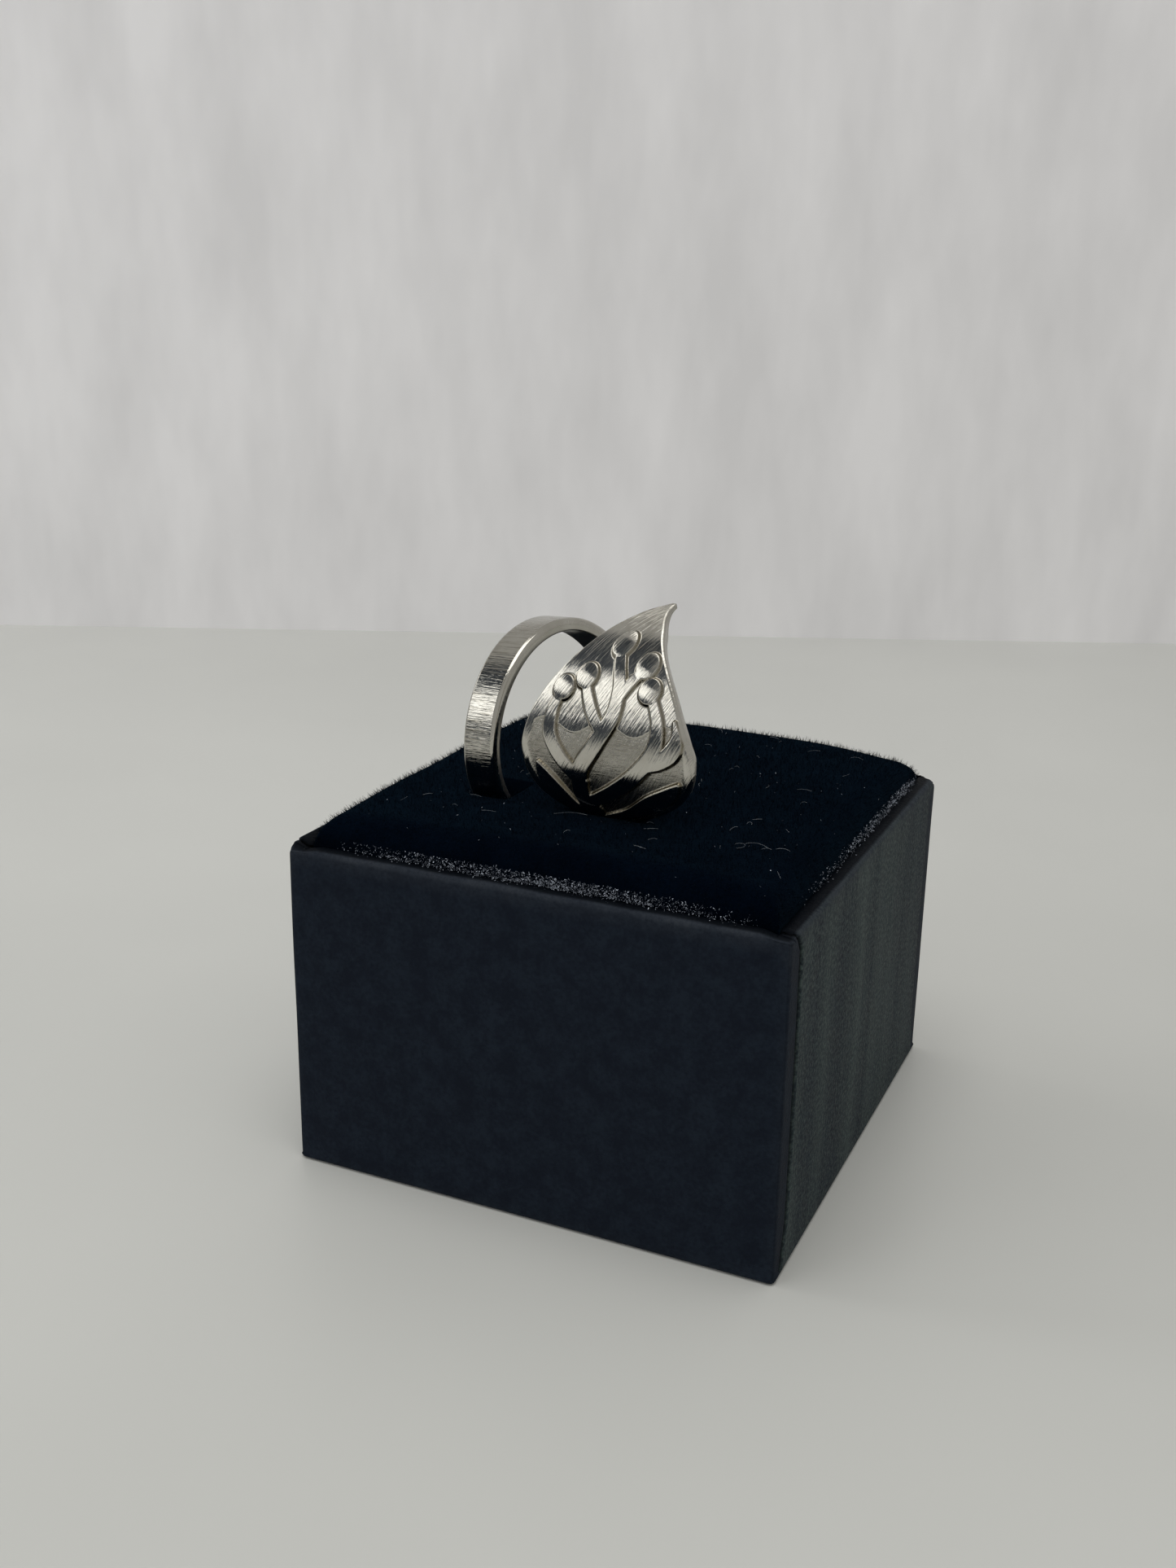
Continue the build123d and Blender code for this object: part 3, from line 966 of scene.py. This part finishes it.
def makePad(shape):
    bm = bmesh.new()
    bmesh.ops.create_grid(bm, x_segments=shape["cells"][0], y_segments=shape["cells"][1], size=1.0)
    shares = np.array([v.co[:2] for v in bm.verts])
    for v, place in zip(bm.verts, padPoints(shares[:, 0], shares[:, 1], shape)):
        v.co = Vector(place) * mm
    skirt = bmesh.ops.extrude_edge_only(bm, edges=[e for e in bm.edges if e.is_boundary])
    for v in [g for g in skirt["geom"] if isinstance(g, bmesh.types.BMVert)]:
        v.co.z = (padBottom + shape["bottomGap"]) * mm
    closeMesh(bm)
    piece = linkPiece("velvetPad", meshFrom(bm, "velvetPad"), velvetMaterial)
    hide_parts("velvet_pad")
    return piece


velvetPad = makePad(padShape)
print("pad:", len(velvetPad.data.polygons), "faces")


# places on the velvet with the direction straight out of it
def padSpots(shareX, shareY):
    step = 1e-3
    spots = padPoints(shareX, shareY, padShape)
    runX = padPoints(shareX + step, shareY, padShape) - spots
    runY = padPoints(shareX, shareY + step, padShape) - spots
    out = np.cross(runX, runY)
    return spots, out / np.linalg.norm(out, axis=1)[:, None]


def seedCone(segments, radius, tip):
    bm = bmesh.new()
    bmesh.ops.create_cone(bm, cap_ends=True, segments=segments, radius1=radius, radius2=tip, depth=1.0)
    bmesh.ops.translate(bm, vec=(0, 0, 0.5), verts=bm.verts)
    return meshFrom(bm, "seed")


# copies of one small cone on the velvet, each with its own place, direction, length and width in mm
def scatterPiece(name, seedMesh, spots, ways, lengths, widths, material):
    bm = bmesh.new()
    for spot, way, length, width in zip(spots, ways, lengths, widths):
        size = Matrix.Diagonal((width * mm, width * mm, length * mm, 1.0))
        bit = seedMesh.copy()
        bit.transform(Matrix.Translation(Vector(spot) * mm) @ facing(Vector(way)) @ size)
        bm.from_mesh(bit)
        bpy.data.meshes.remove(bit)
    bpy.data.meshes.remove(seedMesh)
    return linkPiece(name, meshFrom(bm, name), material)


# the pile: short hairs all over, which show where the velvet turns away
pileShape = dict(
    count=22000,
    seed=11,
    reach=0.985,  # share of the way over the shoulder
    length=(0.25, 0.68),  # mm
    radius=0.024,
    lean=0.55,
    leanShare=0.6,
    tip=0.1,
)


def makePile(shape):
    random = np.random.default_rng(shape["seed"])
    count = shape["count"]
    shareX, shareY = random.uniform(-shape["reach"], shape["reach"], (2, count))
    spots, out = padSpots(shareX, shareY)
    ways = out + random.normal(0.0, shape["lean"], out.shape) * shape["leanShare"]
    lengths = random.uniform(*shape["length"], count)
    widths = [shape["radius"]] * count
    return scatterPiece("velvetPile", seedCone(3, 1.0, shape["tip"]), spots, ways, lengths, widths,
                        velvetMaterial)


velvetPile = makePile(pileShape)
print("pile:", len(velvetPile.data.polygons), "faces")


# lint: pale flecks caught along the front and right rims, and a few more over the pad
lintLooks = dict(
    dark=(0.022, 0.028, 0.042, 1.0),
    light=(0.76, 0.83, 0.96, 1.0),
    toneScale=2300.0,
    tones=(0.45, 0.64),
    roughness=0.8,
    shine=0.2,
)
fibreLooks = dict(
    lintLooks,
    dark=(0.30, 0.33, 0.37, 1.0),
    light=(0.66, 0.70, 0.75, 1.0),
    toneScale=350.0,
)
lintShape = dict(
    seed=5,
    frontCount=2700,
    rightCount=1300,
    strayCount=170,
    length=(0.05, 0.20),  # mm
    radius=(0.012, 0.052),
    lift=(0.06, 0.34),
    smallness=3,  # how rare the wide flecks are
    tip=0.5,
    edge=(0.964, 1.0),  # share of the way over the shoulder
    lowness=1.6,  # how much of it lies low, close to the rim
    slide=0.22,  # mm onto the rim
    slideMost=1.1,
    rightSlide=0.6,
    frontRange=(-0.84, 0.1, 0.88),  # its ends and where most of it lies
    rightRange=(-0.75, 0.72, 0.90),
    strayRange=(-0.9, 0.93),
)


def makeLintMaterial(name, looks):
    material, tree, shader = newMaterial(name)
    grain = useGroup(tree, grainGroup, coordinate=objectPlace(tree), grainScale=looks["toneScale"])["grain"]
    tone = remap(tree, grain, looks["tones"])
    setInputs(tree, shader, {
        "Base Color": mixColours(tree, tone, looks["dark"], looks["light"]),
        "Roughness": looks["roughness"],
        "Specular IOR Level": looks["shine"],
    })
    return material


lintMaterial = makeLintMaterial("lint", lintLooks)
fibreMaterial = makeLintMaterial("fibre", fibreLooks)


def makeLint(shape):
    random = np.random.default_rng(shape["seed"])
    low, high = shape["edge"]

    # how far out and how far along one rim
    def onRim(count, span):
        out = high - (high - low) * random.uniform(0, 1, count) ** shape["lowness"]
        return out, random.triangular(*span, count)

    frontCount, strayCount = shape["frontCount"], shape["strayCount"]
    frontY, frontX = onRim(frontCount, shape["frontRange"])
    rightX, rightY = onRim(shape["rightCount"], shape["rightRange"])
    strayX, strayY = random.uniform(*shape["strayRange"], (2, strayCount))
    shareX = np.concatenate([frontX, rightX, strayX])
    shareY = np.concatenate([-frontY, rightY, strayY])
    spots, out = padSpots(shareX, shareY)
    # some has slid onto the rim
    count = len(spots)
    slid = np.minimum(random.exponential(shape["slide"], count), shape["slideMost"])
    slid[-strayCount:] = 0.0
    sideways = np.arange(count) >= frontCount
    spots[:, 1] -= np.where(sideways, 0.0, slid)
    spots[:, 0] += np.where(sideways, shape["rightSlide"] * slid, 0.0)
    spots[:, 2] = np.maximum(spots[:, 2], trayHigh[2])
    ways = random.normal(0.0, 1.0, out.shape)
    lengths = random.uniform(*shape["length"], count)
    thin, wide = shape["radius"]
    widths = thin + (wide - thin) * random.uniform(0, 1, count) ** shape["smallness"]
    lifts = random.uniform(*shape["lift"], count)
    return scatterPiece("edgeLint", seedCone(4, 1.0, shape["tip"]), spots + out * lifts[:, None], ways,
                        lengths, widths, lintMaterial)


edgeLint = makeLint(lintShape)
print("lint:", len(edgeLint.data.polygons), "faces")


# loose fibres on the velvet: the ones that show most, and some more by chance
fibreShape = dict(
    radius=0.0075,  # mm
    steps=12,
    lift=(0.22, 0.34),
    arch=(0.75, 0.4),  # shares of the lift at the ends, and more in the middle
    seed=23,
    count=44,
    least=(-20, -20, 0, 0.5, -120),  # of the ones by chance, as the named ones
    most=(20, 20, 360, 1.7, 120),
    named=[  # x, y, heading, length, bend in degrees
        (16.2, -15.8, 5, 2.4, 250), (16.6, -14.4, 25, 2.2, -60), (19.4, -14.2, 20, 1.3, -30),
        (18.3, -15.0, 18, 0.9, 10), (21.0, -18.6, -70, 1.0, 40), (-10.7, -5.3, 70, 0.7, 30),
        (-9.9, -5.6, 40, 0.9, 20), (-12.2, -16.8, 10, 0.7, -40), (-2.2, -15.1, 35, 3.2, -35),
        (15.0, -8.0, -20, 1.2, 120), (15.4, -9.4, 80, 0.8, 200), (8.4, -17.6, 30, 0.9, 15),
    ],
)


# a curved fibre seen from above, as places in x and y
def fibreRun(x, y, heading, length, bend, steps):
    turns = np.radians(heading + bend * np.arange(steps) / steps)
    moves = np.stack([np.cos(turns), np.sin(turns)], axis=1) * length / steps
    return np.cumsum([(x, y), *moves], axis=0)


def makeFibres(shape):
    random = np.random.default_rng(shape["seed"])
    byChance = random.uniform(shape["least"], shape["most"], (shape["count"], 5))
    steps = shape["steps"]
    curve = bpy.data.curves.new("looseFibres", "CURVE")
    curve.dimensions = "3D"
    curve.bevel_depth = shape["radius"] * mm
    curve.bevel_resolution = 0
    overShoulder = padHalf - padShape["shoulder"] * (1 - math.pi / 2)
    atEnds, more = shape["arch"]
    for row in [*shape["named"], *byChance]:
        shares = fibreRun(*row, steps) / overShoulder
        places = padPoints(shares[:, 0], shares[:, 1], padShape)
        lift = random.uniform(*shape["lift"])
        spline = curve.splines.new("POLY")
        spline.points.add(steps)
        for i, place in enumerate(places):
            arch = lift * (atEnds + more * math.sin(math.pi * i / steps))
            spline.points[i].co = (*((place + (0, 0, arch)) * mm), 1.0)
    curved = linkObject("fibreCurves", curve)
    mesh = bpy.data.meshes.new_from_object(curved)
    mesh.materials.clear()
    bpy.data.objects.remove(curved)
    bpy.data.curves.remove(curve)
    mesh.name = "looseFibres"
    return linkPiece("looseFibres", mesh, fibreMaterial)


looseFibres = makeFibres(fibreShape)
print("fibres:", len(looseFibres.data.polygons), "faces")


# pale table with a wall behind it, and a dark sheet round the window whose colour is painted shade standing
# in for the dim room; none of them is part of the object
stageLooks = dict(
    table=dict(azimuth=0, distance=-575, height=0, size=(3000, 1600), slope=0,
               colour=(0.648, 0.653, 0.625), scale=9.0, spread=0.04, roughness=0.42, shine=0.4, drawn=1.0),
    wall=dict(azimuth=cameraSetup["azimuth"], distance=-235, height=105, size=(1800, 210), slope=90,
              colour=(0.895, 0.885, 0.895), scale=60.0, spread=0.065, roughness=0.9, shine=0.2, drawn=0.35),
    # painted shade: this sheet's dark colour stands in for the dim room round the window, seen in the ring
    windowWall=dict(azimuth=lightSetup["lamps"]["window"]["azimuth"], distance=660, height=440,
                    size=(800, 1300), slope=90, colour=(0.105, 0.122, 0.150), scale=3.0, spread=0.1,
                    roughness=0.9, shine=0.0, drawn=1.0),
)  # lengths in mm; drawn is how the mottling is drawn out upwards
mottling = (0.3, 0.7)  # the noise at which a sheet is darkest and palest


def makeSheet(name, looks):
    material, tree, shader = newMaterial(name)
    where = stretchPlace(tree, objectPlace(tree), (1.0, 1.0, looks["drawn"]))
    blotch = useGroup(tree, grainGroup, coordinate=where, blotchScale=looks["scale"])["blotch"]
    tone = remap(tree, blotch, mottling, (1 - looks["spread"], 1 + looks["spread"]))
    setInputs(tree, shader, {"Base Color": scaleColour(tree, looks["colour"], tone),
                             "Roughness": looks["roughness"], "Specular IOR Level": looks["shine"]})
    slope = Matrix.Rotation(math.radians(looks["slope"]), 4, "X")
    turn = Matrix.Rotation(math.radians(looks["azimuth"]), 4, "Z")
    size = Matrix.Diagonal((*looks["size"], 1.0, 1.0))
    place = Matrix.Translation(aroundTable(looks)) @ turn @ slope @ size
    bm = bmesh.new()
    bmesh.ops.create_grid(bm, x_segments=1, y_segments=1, size=0.5 * mm, matrix=place)
    mesh = meshFrom(bm, name)
    mesh.materials.append(material)
    return linkObject(name, mesh)


table, wall, windowWall = [makeSheet(name, looks) for name, looks in stageLooks.items()]
print("stage set")
